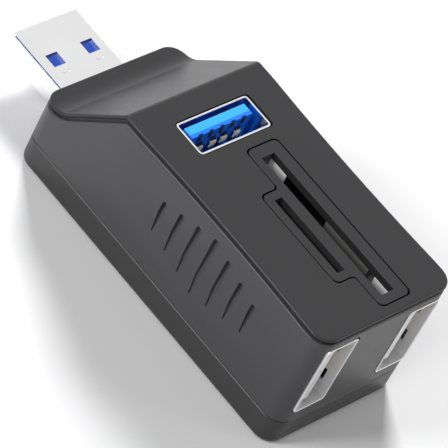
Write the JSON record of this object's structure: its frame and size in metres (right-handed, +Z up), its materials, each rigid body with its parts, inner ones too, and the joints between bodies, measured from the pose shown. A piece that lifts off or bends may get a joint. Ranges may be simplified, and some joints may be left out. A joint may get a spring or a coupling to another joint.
{
  "type": "pocket hub with card slots",
  "caption": "Pocket hub with a flat plug, upright sockets in its end, one in its top and a stepped insert with a long and a short card slot",
  "frame": {"origin": "middle of the flat underside of the housing", "axes": "-X out of the plug, +X out of the end sockets, +Z up out of the flat top"},
  "size_m": [0.0673, 0.0246, 0.0222],
  "materials": {
    "cover_plastic": "fine satin texture, charcoal",
    "body_plastic": "fine satin texture, dark grey",
    "base_plastic": "fine satin texture, dark grey",
    "insert_plastic": "fine satin texture, charcoal",
    "nickel_plate": "bright nickel over folded steel",
    "blue_plastic": "moulded, semi-gloss",
    "white_plastic": "moulded, semi-gloss",
    "black_plastic": "moulded, satin",
    "gold_contacts": "gold flash on copper alloy",
    "card_steel": "thin stainless sheet",
    "green_board": "solder mask over glass laminate",
    "chip_black": "moulded epoxy",
    "ceramic_tan": "fired ceramic"
  },
  "bodies": {
    "root": {"top_cover": "cover_plastic", "body_shell": "body_plastic", "base_cover": "base_plastic", "card_slot_insert": "insert_plastic", "plug_shell": "nickel_plate", "plug_insulator": "blue_plastic", "plug_contacts": "gold_contacts", "plug_fast_contacts": "gold_contacts", "top_port_shell": "nickel_plate", "top_port_insulator": "blue_plastic", "top_port_contacts": "gold_contacts", "top_port_fast_contacts": "gold_contacts", "left_port_shell": "nickel_plate", "left_port_insulator": "white_plastic", "left_port_contacts": "gold_contacts", "right_port_shell": "nickel_plate", "right_port_insulator": "white_plastic", "right_port_contacts": "gold_contacts", "long_card_socket_base": "black_plastic", "long_card_socket_cover": "card_steel", "long_card_socket_contacts": "gold_contacts", "short_card_socket_base": "black_plastic", "short_card_socket_cover": "card_steel", "short_card_socket_contacts": "gold_contacts", "main_board": "green_board", "card_board": "green_board", "board_link_pins": "gold_contacts", "hub_chip": "chip_black", "card_reader_chip": "chip_black", "crystal": "card_steel", "voltage_regulator": "chip_black", "capacitors": "ceramic_tan"}
  },
  "joints": []
}
